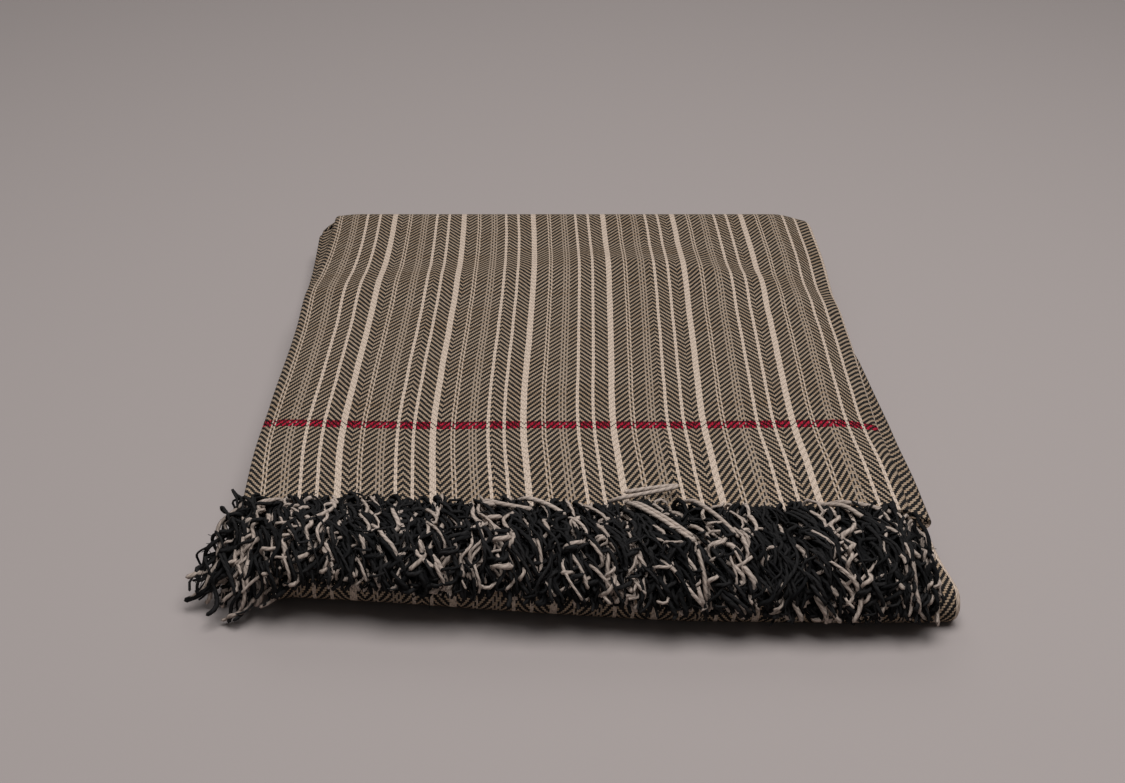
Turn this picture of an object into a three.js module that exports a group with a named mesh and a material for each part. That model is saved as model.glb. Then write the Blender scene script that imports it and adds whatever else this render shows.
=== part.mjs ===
// A cotton throw, folded in four across its width and in four along its length, so that sixteen plies
// lie on each other. It is one cloth with a cut fringe at each end, and both fringes come out at the front.
// Millimetres, +Z up, the front towards -Y. The origin is on the surface under the middle of the stack.

import * as THREE from "three";

// Cloth and stack
const CLOTH_THICKNESS = 1.7;
const PLY_GAP = 0.7;
const PACKET_GAP = 1.2;
const PLIES = 4;
const PACKETS = 4;
const FOLDED_WIDTH = 328;
const SELVEDGE_INSET = { lower: 2, inner: 6 };

// Where the four runs of the cloth start and end, from back to front
const BACK_FOLD_Y = 199;
const FRONT_FOLD_Y = -191;
const UPPER_END_Y = -156;
const LOWER_END_Y = -149;

// Fringe
const FRINGE_GAP = 0.3;
const BACKING_LENGTH = 3;
const LOCK_HEIGHT = { first: 1.3, tip: 0.8 };
const LOCK_TAPER = 0.55;
const LOCK_WIDTH_SHARE = 0.48;
const LOCKS_PER_PLY = { upper: 22, lower: 14 };
const SAME_LENGTH = 1e-6;

const COLOURS = { cloth: 0x7a6a59, fringe: 0x24211f };
const ROUGHNESS = { cloth: 0.9, fringe: 0.95 };

// Sizes that follow from those above
const PLY_PITCH = CLOTH_THICKNESS + PLY_GAP;
const PACKET_THICKNESS = PLIES * CLOTH_THICKNESS + (PLIES - 1) * PLY_GAP;
const PACKET_PITCH = PACKET_THICKNESS + PACKET_GAP;
const STACK_HEIGHT = PACKETS * PACKET_THICKNESS + (PACKETS - 1) * PACKET_GAP;
const HALF_WIDTH = FOLDED_WIDTH / 2;
const SIDE_FOLD_X = HALF_WIDTH - PACKET_THICKNESS / 2;
const TOP_PLY_Z = STACK_HEIGHT - CLOTH_THICKNESS / 2;
const LOWEST_FRINGE_Z = TOP_PLY_Z - PACKET_PITCH - (PLIES - 1) * PLY_PITCH;

// Places across and along the cloth where its faces get a row of points, and flat faces in each side fold
const MARKS_ACROSS = [-146, -60, 40, 112, 150];
const MARKS_ALONG = [-184, -165, -130, -60, 20, 60, 85, 110, 140, 170];
const SIDE_TURN_STEPS = { outer: 5, left: 3, inner: 3 };

// The runs of the cloth, from the end that lies inside to the end that lies on top
const RUNS = [
  { packet: 2, fromY: LOWER_END_Y, toY: BACK_FOLD_Y, turnSteps: 5 },
  { packet: 1, fromY: BACK_FOLD_Y, toY: FRONT_FOLD_Y, turnSteps: 6 },
  { packet: 0, fromY: FRONT_FOLD_Y, toY: BACK_FOLD_Y, turnSteps: 7 },
  { packet: 3, fromY: BACK_FOLD_Y, toY: UPPER_END_Y, turnSteps: 0 },
];

// The soft ridge across the top: how far back it lies at each place across
const RIDGE = [
  { x: -164, y: 70 },
  { x: -80, y: 88 },
  { x: 0, y: 108 },
  { x: 70, y: 114 },
  { x: 105, y: 85 },
  { x: 130, y: 60 },
  { x: 164, y: 55 },
];
const RIDGE_RISE = 0.025;
const RIDGE_REACH = 35;
const BACK_FALL = { share: 0.105, length: 45 };

// How the settled stack departs from a square one
const FRONT_FALL = { share: 0.08, fromY: -100, toY: -160 };
const FRONT_FOLD_PUFF = { share: 0.14, fromY: -165, toY: -195 };
const RIGHT_DROOP = { share: 0.16, fromX: 138, toX: 168 };
const LEFT_DROOP = { share: 0.04, fromX: -148, toX: -166 };
const DROOP_ENDS = { fromY: -60, toY: -130 };
const FRONT_LIFT = {
  height: 4,
  fromY: -150,
  toY: -200,
  fromX: 40,
  toX: -130,
  cornerX: -168,
  insideX: -150,
};
const SWAY = { depth: 2, length: 62, startY: 20 };
const SIDE_BEND = { atY: 80, reach: 50 };
const LEFT_BEND = { depth: 3.2, fromX: -90, toX: -160 };
const RIGHT_BEND = { depth: 2.2, fromX: 110, toX: 160 };

// How far the lower packets have slid sideways under the upper ones at each place along
const LOWER_SLIP = [
  { y: -220, x: 17.5 },
  { y: -184, x: 14.8 },
  { y: -165, x: 12.8 },
  { y: -130, x: 11.3 },
  { y: -60, x: 9.7 },
  { y: 20, x: 4 },
  { y: 60, x: -2.6 },
  { y: 110, x: -6.6 },
  { y: 170, x: -10.1 },
  { y: 199, x: -11.5 },
  { y: 230, x: -13 },
];
const SLIP_HEIGHT = { fromZ: 26, toZ: 33, foldFromZ: 16, foldFromY: 198, foldToY: 212 };

// How far the front edge bows forwards or backwards at each place across
const FRONT_BOW = [
  { x: -164, y: 7 },
  { x: -146, y: 5 },
  { x: -60, y: -2 },
  { x: 40, y: -8 },
  { x: 112, y: -9.2 },
  { x: 150, y: -8.8 },
  { x: 164, y: -8 },
];
const FRONT_BOW_REACH = { fromY: -100, toY: -200 };

// How the outermost and the innermost lock fall over the front fold, from their roots to their tips
const DRAPE = [
  { outerY: -178, outerZ: 38, innerY: -170, innerZ: 21.3 },
  { outerY: -195, outerZ: 32.5, innerY: -192.5, innerZ: 21.3 },
  { outerY: -206, outerZ: 24, innerY: -201.2, innerZ: 16.5 },
  { outerY: -211, outerZ: 15, innerY: -203.5, innerZ: 10 },
];
const LOCK_SIDEWAYS = { depth: 2.2, length: 24 };
const TIP_SHORTEST = 0.4;
const RIGHT_LONGER = { drop: 6, fromX: -20, toX: 110 };
const LEFT_CORNER = { fromX: -128, toX: -164, sideways: -32, restZ: 2 };
const LOCK_BEND = { sideways: 1.5, corner: 2, drop: 6 };

// Eases from 0 at the first limit to 1 at the second
function ease(value, from, to) {
  const t = Math.min(Math.max((value - from) / (to - from), 0), 1);
  return t * t * (3 - 2 * t);
}

function straight(value, from, to) {
  return (value - from) / (to - from);
}

function mix(a, b, share) {
  return a + (b - a) * share;
}

// A fixed scatter between 0 and 1 for each number
function scatter(number) {
  const wave = Math.sin(number * 12.9898 + 4.1) * 43758.5453;
  return wave - Math.floor(wave);
}

function packetZ(packet) {
  return PACKET_THICKNESS / 2 + packet * PACKET_PITCH;
}

// Centre heights of the plies of a packet, from its outer face to its inner one
function plyOffset(ply) {
  return (PLIES / 2 - 0.5 - ply) * PLY_PITCH;
}

// Goes from row to row of a table, from a place in its one column to the value in its other
function readTable(rows, [at, value], place, way) {
  const next = rows.findIndex((row) => row[at] >= place);
  if (next < 0) {
    return rows[rows.length - 1][value];
  }
  if (next === 0) {
    return rows[0][value];
  }
  const low = rows[next - 1];
  const high = rows[next];
  return mix(low[value], high[value], way(place, low[at], high[at]));
}

// Height of the stack at a place, as a share of its square height
function stackShare(x, y) {
  const behindRidge = y - readTable(RIDGE, ["x", "y"], x, ease);
  const ridge = RIDGE_RISE * Math.exp(-((behindRidge / RIDGE_REACH) ** 2));
  const back = BACK_FALL.share * ease(behindRidge, 0, BACK_FALL.length);
  const front = FRONT_FALL.share * ease(y, FRONT_FALL.fromY, FRONT_FALL.toY);
  const puff = FRONT_FOLD_PUFF.share * ease(y, FRONT_FOLD_PUFF.fromY, FRONT_FOLD_PUFF.toY);
  const right = RIGHT_DROOP.share * ease(x, RIGHT_DROOP.fromX, RIGHT_DROOP.toX);
  const left = LEFT_DROOP.share * ease(x, LEFT_DROOP.fromX, LEFT_DROOP.toX);
  const sides = (right + left) * (1 - ease(y, DROOP_ENDS.fromY, DROOP_ENDS.toY));
  return 1 + ridge - back - front + puff - sides;
}

// How far the front fold stands off the surface, most at the left
function frontLift(x, y) {
  const along = ease(y, FRONT_LIFT.fromY, FRONT_LIFT.toY);
  const across = ease(x, FRONT_LIFT.fromX, FRONT_LIFT.toX);
  return FRONT_LIFT.height * along * across * ease(x, FRONT_LIFT.cornerX, FRONT_LIFT.insideX);
}

// How far a place in the stack has slid sideways, more gradually round the back fold
function sideSlip(y, z) {
  const fold = ease(y, SLIP_HEIGHT.foldFromY, SLIP_HEIGHT.foldToY);
  const fromZ = mix(SLIP_HEIGHT.fromZ, SLIP_HEIGHT.foldFromZ, fold);
  return readTable(LOWER_SLIP, ["y", "x"], y, straight) * (1 - ease(z, fromZ, SLIP_HEIGHT.toZ));
}

// How far the stack leans rightwards at a place
function lean(x, y, z) {
  const sway = SWAY.depth * Math.sin((y - SWAY.startY) / SWAY.length) * (z / STACK_HEIGHT);
  const left = LEFT_BEND.depth * ease(x, LEFT_BEND.fromX, LEFT_BEND.toX);
  const right = RIGHT_BEND.depth * ease(x, RIGHT_BEND.fromX, RIGHT_BEND.toX);
  return sway - (left + right) * Math.exp(-(((y - SIDE_BEND.atY) / SIDE_BEND.reach) ** 2));
}

// Takes a point of the square stack to its place in the settled one
function settle(point, slip) {
  const { x, y, z } = point;
  const reach = ease(y, FRONT_BOW_REACH.fromY, FRONT_BOW_REACH.toY);
  const bow = readTable(FRONT_BOW, ["x", "y"], x, straight) * reach;
  return new THREE.Vector3(x + slip + lean(x, y, z), y + bow, z * stackShare(x, y) + frontLift(x, y));
}

// Points of a turn about a centre, without its two ends
function turnPoints(centreX, centreN, radius, fromAngle, toAngle, steps) {
  const points = [];
  for (let step = 1; step < steps; step += 1) {
    const angle = mix(fromAngle, toAngle, step / steps);
    const inward = toAngle > fromAngle ? -1 : 1;
    const cos = Math.cos(angle);
    const sin = Math.sin(angle);
    const at = new THREE.Vector2(centreX + radius * cos, centreN + radius * sin);
    points.push({ at, left: new THREE.Vector2(cos, sin).multiplyScalar(inward) });
  }
  return points;
}

// Points of one flat ply from one place across to another, with those of its marks that lie between
function plyPoints(fromX, toX, n, marks) {
  const right = toX > fromX;
  const inside = marks.filter((x) => x > Math.min(fromX, toX) && x < Math.max(fromX, toX));
  const left = new THREE.Vector2(0, right ? 1 : -1);
  const places = [fromX, ...(right ? inside : inside.reverse()), toX];
  return places.map((x) => ({ at: new THREE.Vector2(x, n), left }));
}

// Centre line of the cloth folded in four across: from the lower selvedge, round the outer side fold, over
// the top, round the left fold, and back round the inner side fold to the other selvedge
function packetLine(marksOf) {
  const quarter = Math.PI / 2;
  const [outer, second, third, lowest] = [0, 1, 2, 3].map(plyOffset);
  const leftFoldX = -HALF_WIDTH + (PLY_PITCH + CLOTH_THICKNESS) / 2;
  const leftFoldN = (outer + second) / 2;
  return [
    ...plyPoints(-HALF_WIDTH + SELVEDGE_INSET.lower, SIDE_FOLD_X, lowest, marksOf(3)),
    ...turnPoints(SIDE_FOLD_X, 0, outer, -quarter, quarter, SIDE_TURN_STEPS.outer),
    ...plyPoints(SIDE_FOLD_X, leftFoldX, outer, marksOf(0)),
    ...turnPoints(leftFoldX, leftFoldN, PLY_PITCH / 2, quarter, 3 * quarter, SIDE_TURN_STEPS.left),
    ...plyPoints(leftFoldX, SIDE_FOLD_X, second, marksOf(1)),
    ...turnPoints(SIDE_FOLD_X, 0, second, quarter, -quarter, SIDE_TURN_STEPS.inner),
    ...plyPoints(SIDE_FOLD_X, -HALF_WIDTH + SELVEDGE_INSET.inner, third, marksOf(2)),
  ];
}

// The outline of the folded cloth cut across, at its full thickness
function packetSection() {
  const line = packetLine(() => MARKS_ACROSS);
  const side = (share) => ({ at, left }) => at.clone().addScaledVector(left, share * CLOTH_THICKNESS);
  const outline = [...line.map(side(-0.5)), ...line.map(side(0.5)).reverse()];
  return THREE.ShapeUtils.isClockWise(outline) ? outline.reverse() : outline;
}

// Cross sections of the packet along the cloth, each with its place and the way its outer face points
function lengthStations() {
  const stations = [];
  RUNS.forEach((run, index) => {
    const z = packetZ(run.packet);
    const backwards = run.toY > run.fromY;
    const low = Math.min(run.fromY, run.toY);
    const high = Math.max(run.fromY, run.toY);
    const inside = MARKS_ALONG.filter((y) => y > low && y < high);
    const marks = [run.fromY, ...(backwards ? inside : inside.reverse()), run.toY];
    marks.forEach((y) => stations.push({ y, z, outY: 0, outZ: backwards ? -1 : 1 }));
    if (run.turnSteps === 0) {
      return;
    }
    const nextZ = packetZ(RUNS[index + 1].packet);
    const centreZ = (z + nextZ) / 2;
    const reach = (backwards ? 1 : -1) * Math.abs(nextZ - z) / 2;
    const climbs = nextZ > z;
    const outward = backwards === climbs ? 1 : -1;
    for (let step = 1; step < run.turnSteps; step += 1) {
      const angle = mix(-Math.PI / 2, Math.PI / 2, step / run.turnSteps);
      const bulge = Math.cos(angle);
      const rise = Math.sin(angle) * (climbs ? 1 : -1);
      const sideways = backwards ? 1 : -1;
      stations.push({
        y: run.toY + reach * bulge,
        z: centreZ + Math.abs(reach) * rise,
        outY: outward * sideways * bulge,
        outZ: outward * rise,
      });
    }
  });
  return stations;
}

function closedGeometry(vertices, faces) {
  const geometry = new THREE.BufferGeometry().setFromPoints(vertices);
  geometry.setIndex(faces.flat());
  geometry.computeVertexNormals();
  return geometry;
}

// Runs the folded section through its stations and lets it settle. All plies are split into triangles the
// same way seen from above, so that their faces stay apart where the stack is uneven.
function clothGeometry() {
  const stations = lengthStations();
  const section = packetSection();
  const count = section.length;
  const vertices = stations.flatMap((station) => section.map(({ x, y: n }) => {
    const square = new THREE.Vector3(x, station.y + station.outY * n, station.z + station.outZ * n);
    return settle(square, sideSlip(square.y, square.z));
  }));
  const faces = [];
  for (let s = 0; s < stations.length - 1; s += 1) {
    for (let j = 0; j < count; j += 1) {
      const k = (j + 1) % count;
      const [a, b, c, d] = [s * count + j, s * count + k, (s + 1) * count + k, (s + 1) * count + j];
      const rising = (section[k].x - section[j].x) * (stations[s + 1].y - stations[s].y) > 0;
      faces.push(...(rising ? [[a, b, c], [a, c, d]] : [[a, b, d], [b, c, d]]));
    }
  }
  const lastRing = (stations.length - 1) * count;
  for (let j = 0; j < count / 2 - 1; j += 1) {
    const [a, b, c, d] = [j, j + 1, count - 2 - j, count - 1 - j];
    faces.push([a, c, b], [a, d, c]);
    faces.push([lastRing + a, lastRing + b, lastRing + c], [lastRing + a, lastRing + c, lastRing + d]);
  }
  return closedGeometry(vertices, faces);
}

// The places that a lock passes from its root to its tip, in the square stack
function lockLine(rootX, rootZ, tipShare) {
  const depth = (TOP_PLY_Z - rootZ) / (TOP_PLY_Z - LOWEST_FRINGE_Z);
  const corner = ease(rootX, LEFT_CORNER.fromX, LEFT_CORNER.toX);
  const tip = DRAPE[DRAPE.length - 1];
  const tipZ = mix(tip.outerZ, tip.innerZ, depth);
  const drop = RIGHT_LONGER.drop * ease(rootX, RIGHT_LONGER.fromX, RIGHT_LONGER.toX);
  const wander = LOCK_SIDEWAYS.depth * Math.sin(rootX / LOCK_SIDEWAYS.length);
  const points = DRAPE.map((row, index) => {
    const share = (index + 1) / DRAPE.length;
    const cornerFall = corner * (tipZ - LEFT_CORNER.restZ) * share ** LOCK_BEND.corner;
    const fall = cornerFall + drop * share ** LOCK_BEND.drop;
    const sideways = (wander + corner * LEFT_CORNER.sideways) * share ** LOCK_BEND.sideways;
    const y = mix(row.outerY, row.innerY, depth);
    return new THREE.Vector3(rootX + sideways, y, mix(row.outerZ, row.innerZ, depth) - fall);
  });
  const last = points.length - 1;
  points[last].lerpVectors(points[last - 1], points[last].clone(), tipShare);
  return points;
}

// Four-cornered rings of a lock beyond its root, tapering along its line
function lockRings(root, width, outZ, tipShare) {
  const line = [root.middle, ...lockLine(root.middle.x, root.middle.z, tipShare)];
  const last = line.length - 1;
  const across = new THREE.Vector3(1, 0, 0);
  return line.slice(1).map((place, index) => {
    const share = index / (last - 1);
    const along = line[Math.min(index + 2, last)].clone().sub(line[index]);
    const outward = along.cross(across).normalize();
    const halfWidth = root.heading * width * mix(1, LOCK_TAPER, share) / 2;
    const halfHeight = root.left * outZ * mix(LOCK_HEIGHT.first, LOCK_HEIGHT.tip, share) / 2;
    const corners = [[-1, 1], [1, 1], [1, -1], [-1, -1]];
    return corners.map(([w, h]) => {
      const corner = place.clone().addScaledVector(across, w * halfWidth);
      return settle(corner.addScaledVector(outward, h * halfHeight), root.slip);
    });
  });
}

// Room that each of the locks of a ply has across
function lockRoom(locks) {
  return (FOLDED_WIDTH - 2 * PACKET_THICKNESS) / locks;
}

// Places across a ply where its locks have their two edges
function lockMarks(ply, locks) {
  const room = lockRoom(locks);
  const start = -HALF_WIDTH + PACKET_THICKNESS + (ply % 2) * room / 2;
  const marks = [];
  for (let lock = 0; lock < locks; lock += 1) {
    marks.push(start + lock * room, start + (lock + LOCK_WIDTH_SHARE) * room);
  }
  return marks;
}

// The free warp ends of one end of the cloth, with the narrow strip, folded like the cloth, that holds them
function fringeGeometry(packet, endY, outZ, locks) {
  const packetMiddle = packetZ(packet);
  const backY = endY - FRINGE_GAP;
  const frontY = backY - BACKING_LENGTH;
  const slip = sideSlip(frontY, packetMiddle);
  const lockWidth = lockRoom(locks) * LOCK_WIDTH_SHARE;
  const line = packetLine((ply) => lockMarks(ply, locks));
  const vertices = [];
  const faces = [];
  const addRing = (ring) => ring.map((vertex) => vertices.push(vertex) - 1);
  const addQuad = (a, b, c, d) => faces.push([a, b, c], [a, c, d]);
  const addSides = (ring, next) => ring.forEach((_, k) => {
    const after = (k + 1) % ring.length;
    addQuad(ring[k], ring[after], next[after], next[k]);
  });
  const rings = line.map(({ at, left }) => {
    const corners = [[0.5, backY], [0.5, frontY], [-0.5, frontY], [-0.5, backY]];
    return addRing(corners.map(([share, y]) => {
      const edge = at.clone().addScaledVector(left, share * CLOTH_THICKNESS);
      const z = packetMiddle + outZ * edge.y;
      return settle(new THREE.Vector3(edge.x, y, z), sideSlip(y, z));
    }));
  });
  const isLock = (k) => Math.abs(Math.abs(line[k + 1].at.x - line[k].at.x) - lockWidth) < SAME_LENGTH;
  for (let k = 0; k < rings.length - 1; k += 1) {
    const [a, b, c, d] = rings[k];
    const [nextA, nextB, nextC, nextD] = rings[k + 1];
    addQuad(a, nextA, nextB, b);
    addQuad(c, nextC, nextD, d);
    addQuad(d, nextD, nextA, a);
    if (!isLock(k)) {
      addQuad(b, nextB, nextC, c);
      continue;
    }
    const z = packetMiddle + outZ * line[k].at.y;
    const middle = new THREE.Vector3((line[k].at.x + line[k + 1].at.x) / 2, frontY, z);
    const heading = Math.sign(line[k + 1].at.x - line[k].at.x);
    const root = { middle, heading, left: line[k].left.y, slip };
    let ring = [b, nextB, nextC, c];
    lockRings(root, lockWidth, outZ, mix(TIP_SHORTEST, 1, scatter(k))).forEach((corners) => {
      const next = addRing(corners);
      addSides(ring, next);
      ring = next;
    });
    addQuad(...ring);
  }
  addQuad(...rings[0]);
  addQuad(...rings[rings.length - 1].slice().reverse());
  return closedGeometry(vertices, faces.map((face) => (outZ > 0 ? face.reverse() : face)));
}

function namedMesh(name, geometry, color, roughness) {
  const mesh = new THREE.Mesh(geometry, new THREE.MeshStandardMaterial({ color, roughness, metalness: 0 }));
  mesh.name = name;
  return mesh;
}

const upperPacket = RUNS[RUNS.length - 1].packet;
const lowerPacket = RUNS[0].packet;
const upperFringe = fringeGeometry(upperPacket, UPPER_END_Y, 1, LOCKS_PER_PLY.upper);
const lowerFringe = fringeGeometry(lowerPacket, LOWER_END_Y, -1, LOCKS_PER_PLY.lower);

const throwGroup = new THREE.Group();
throwGroup.add(namedMesh("throw_cloth", clothGeometry(), COLOURS.cloth, ROUGHNESS.cloth));
throwGroup.add(namedMesh("fringe_upper_end", upperFringe, COLOURS.fringe, ROUGHNESS.fringe));
throwGroup.add(namedMesh("fringe_lower_end", lowerFringe, COLOURS.fringe, ROUGHNESS.fringe));

export default throwGroup;
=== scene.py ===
"""A folded cotton throw in black and ecru herringbone, with its cut fringe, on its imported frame.

Tables and working sizes are in millimetres, as in the part's source. Meshes are in metres.
"""

import math

import bpy
import numpy as np
from bpy.props import FloatProperty, FloatVectorProperty, IntProperty, PointerProperty
from bpy.types import Operator, Panel, PropertyGroup
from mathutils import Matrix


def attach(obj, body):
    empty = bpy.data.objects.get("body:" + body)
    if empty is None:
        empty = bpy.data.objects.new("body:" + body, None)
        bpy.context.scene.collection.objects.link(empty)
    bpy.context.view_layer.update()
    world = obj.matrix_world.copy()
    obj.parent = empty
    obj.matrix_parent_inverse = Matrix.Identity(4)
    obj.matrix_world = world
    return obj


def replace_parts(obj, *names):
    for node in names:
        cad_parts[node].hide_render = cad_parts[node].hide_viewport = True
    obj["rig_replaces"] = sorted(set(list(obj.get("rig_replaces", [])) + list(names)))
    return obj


bl_info = {
    "name": "Folded cotton throw",
    "version": (1, 0, 0),
    "blender": (4, 5, 0),
    "location": "View3D > Sidebar > Throw",
    "description": "Dresses a folded herringbone throw and its cut fringe on their packed frame",
    "category": "Object",
}

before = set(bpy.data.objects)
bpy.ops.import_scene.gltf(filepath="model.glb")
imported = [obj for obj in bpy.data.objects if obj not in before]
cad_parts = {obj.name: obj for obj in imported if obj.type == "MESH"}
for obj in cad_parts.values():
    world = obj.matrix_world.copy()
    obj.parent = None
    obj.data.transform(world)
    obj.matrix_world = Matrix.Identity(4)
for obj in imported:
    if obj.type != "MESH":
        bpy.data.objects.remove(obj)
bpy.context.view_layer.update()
MM = 0.001
FLAT_MAP = "flat_cloth"
YARN_MAP = "yarn"
TONE = "tone"

# The runs of the cloth, from the end that lies inside to the end that lies on top. Steps are the rows of
# points along each run and round the fold after it.
RUNS = (
    # packet, from_y, to_y, run_steps, turn_steps
    (2, "lower_end", "back_fold", 30, 12),
    (1, "back_fold", "front_fold", 36, 16),
    (0, "front_fold", "back_fold", 34, 14),
    (3, "back_fold", "upper_end", 96, 0),
)

# The soft ridge across the top: how far back it lies at each place across
RIDGE_X = (-164.0, -80.0, 0.0, 70.0, 105.0, 130.0, 164.0)
RIDGE_Y = (70.0, 88.0, 108.0, 114.0, 85.0, 60.0, 55.0)
RIDGE_RISE, RIDGE_REACH = 0.025, 35.0
BACK_FALL, BACK_FALL_LENGTH = 0.105, 45.0

# How the settled stack departs from a square one: shares of its height, depths, and where each sets in
FRONT_FALL, FRONT_FALL_Y = 0.08, (-100.0, -160.0)
FRONT_PUFF, FRONT_PUFF_Y = 0.14, (-165.0, -195.0)
RIGHT_DROOP, RIGHT_DROOP_X = 0.16, (138.0, 168.0)
LEFT_DROOP, LEFT_DROOP_X = 0.04, (-148.0, -166.0)
DROOP_END_Y = (-60.0, -130.0)
FRONT_LIFT, FRONT_LIFT_Y, FRONT_LIFT_X = 4.0, (-150.0, -200.0), (40.0, -130.0)
LIFT_CORNER_X = (-168.0, -150.0)
SWAY, SWAY_LENGTH, SWAY_START_Y = 2.0, 62.0, 20.0
LEFT_BEND, LEFT_BEND_X = 3.2, (-90.0, -160.0)
RIGHT_BEND, RIGHT_BEND_X = 2.2, (110.0, 160.0)
BEND_Y, BEND_REACH = 80.0, 50.0
SELVEDGE_INSET = {"lower": 2.0, "inner": 6.0}

# How far the lower packets have slid sideways at each place along, up to which height, and how that height
# sinks round the back fold
SLIP_Y = (-220.0, -184.0, -165.0, -130.0, -60.0, 20.0, 60.0, 110.0, 170.0, 199.0, 230.0)
SLIP_X = (17.5, 14.8, 12.8, 11.3, 9.7, 4.0, -2.6, -6.6, -10.1, -11.5, -13.0)
SLIP_FROM_Z, SLIP_TO_Z = 26.0, 33.0
SLIP_SINK, SLIP_SINK_Y = 10.0, (198.0, 212.0)

# How far the front edge bows forwards or backwards at each place across
BOW_X = (-164.0, -146.0, -60.0, 40.0, 112.0, 150.0, 164.0)
BOW_Y = (7.0, 5.0, -2.0, -8.0, -9.2, -8.8, -8.0)
BOW_REACH_Y = (-100.0, -200.0)

# How far the stripes of the top have slid rightwards at each place from the end, and how far its red line
# bows back at each place across
SLIDE_FROM_END = (0.0, 20.0, 39.0, 58.0, 79.0, 122.0, 170.0, 222.0, 312.0)
SLIDE = (5.3, 4.2, 3.1, 2.1, 1.6, 1.7, 1.2, 0.6, 0.0)
LINE_X = (-164.0, -150.0, -60.0, 60.0, 130.0, 164.0)
LINE_BACK = (3.6, 2.6, 0.6, -0.8, 0.8, 4.0)

# Soft creases and swells of the top, each along a line, the lower plies following less and less
CREASES = (
    # x, y, to_x, to_y, half_width, rise
    (-150.0, 42.0, -10.0, 74.0, 16.0, -0.8),
    (10.0, 128.0, 120.0, 92.0, 9.0, 1.1),
    (40.0, 86.0, 150.0, 40.0, 12.0, -0.9),
    (-40.0, -30.0, 90.0, -52.0, 26.0, 0.7),
    (-160.0, -70.0, -60.0, -96.0, 18.0, -0.6),
    (60.0, -112.0, 160.0, -124.0, 15.0, 0.8),
    (-120.0, -128.0, -20.0, -122.0, 14.0, 0.6),
)
CREASE_END_Y = (-140.0, -160.0)

# How the fringe falls over the front fold: the outermost and the innermost strand, from root to tip
FALL = (
    # outer_y, outer_z, inner_y, inner_z
    (-160.0, 43.5, -158.0, 22.5),
    (-178.0, 43.0, -174.0, 23.0),
    (-195.0, 37.5, -194.0, 22.5),
    (-206.0, 28.5, -203.0, 19.5),
    (-210.0, 19.5, -205.0, 15.0),
)
LEAN_X = (-164.0, -90.0, -20.0, 60.0, 120.0, 164.0)
LEAN = (-4.0, -2.0, 0.0, 4.0, 6.0, 2.0)
RIGHT_DROP, RIGHT_DROP_X, RIGHT_LIMIT = 5.0, (-20.0, 110.0), 149.0
HIGH_STRAND, HIGHEST_FIBRE = 44.0, 50.0
CORNER_X = (-126.0, -156.0)
CORNER_TUFTS = (
    # x, y and z of the tip
    (-186.0, -196.0, 7.0),
    (-171.0, -217.0, 2.0),
)

# Ends of the warp that are cream within one stripe repeat, from the broad stripe rightwards, and how pale
CREAM_ENDS = {0: 1.0, 1: 1.0, 2: 1.0, 3: 1.0, 13: 0.9, 15: 0.9, 24: 0.5, 26: 0.6, 28: 0.5, 35: 1.0, 36: 1.0,
              45: 1.0, 46: 1.0}

# Single strands that lie out of line, each from its root to its tip
STRAY_STRANDS = (
    # x, y, z along the strand
    ((16.0, -157.0, 38.0), (22.0, -161.0, 43.0), (38.0, -157.0, 44.0), (50.0, -150.0, 42.5),
     (42.0, -149.0, 41.5), (24.0, -155.0, 42.5)),
    ((24.0, -158.0, 38.0), (29.0, -172.0, 45.5), (40.0, -184.0, 46.0), (54.0, -197.0, 43.0)),
    ((26.0, -158.0, 38.0), (31.0, -171.0, 45.5), (42.0, -183.0, 46.0), (53.0, -194.0, 44.0)),
    ((52.0, -157.0, 38.0), (57.0, -166.0, 44.0), (66.0, -180.0, 45.5), (75.0, -194.0, 43.5)),
    ((122.0, -158.0, 37.0), (128.0, -164.0, 42.5), (140.0, -168.0, 43.0), (152.0, -172.0, 41.5)),
    ((118.0, -158.0, 37.0), (128.0, -168.0, 43.0), (136.0, -179.0, 43.5), (150.0, -189.0, 39.5),
     (160.0, -196.0, 33.0)),
    ((150.0, -192.0, 36.0), (153.0, -204.0, 28.0), (154.0, -209.0, 19.0), (157.0, -208.0, 12.0)),
    ((155.0, -191.0, 35.0), (158.0, -203.0, 27.0), (159.0, -208.0, 18.0), (161.0, -207.0, 12.0)),
    ((-62.0, -180.0, 44.0), (-66.0, -194.0, 42.5), (-71.0, -203.0, 38.5), (-77.0, -208.0, 35.0)),
    ((-84.0, -180.0, 44.0), (-80.0, -192.0, 42.5), (-74.0, -202.0, 39.0), (-67.0, -207.0, 35.5)),
    ((-117.0, -158.0, 38.0), (-118.0, -165.0, 44.0), (-116.0, -172.0, 45.0), (-121.0, -178.0, 45.0),
     (-129.0, -182.0, 43.5)),
    ((-44.0, -180.0, 44.0), (-36.0, -195.0, 41.0), (-31.0, -204.0, 36.0), (-28.0, -208.0, 28.0)),
    ((-46.0, -158.0, 38.0), (-43.0, -166.0, 44.5), (-34.0, -170.0, 45.0), (-22.0, -173.0, 44.5)),
    ((-30.0, -157.0, 38.0), (-24.0, -163.0, 44.0), (-15.0, -169.0, 45.0), (-6.0, -177.0, 44.5)),
)


def ease(value, start, end):
    """0 at start and before it, 1 at end and past it, smooth between."""
    t = np.clip((value - start) / (end - start), 0.0, 1.0)
    return t * t * (3.0 - 2.0 * t)


def eased_table(x, places, values):
    """Eases from each value of a table to the next."""
    places, values = np.asarray(places), np.asarray(values)
    low = np.clip(np.searchsorted(places, x) - 1, 0, len(places) - 2)
    share = ease(x, places[low], places[low + 1])
    return values[low] + (values[low + 1] - values[low]) * share


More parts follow.
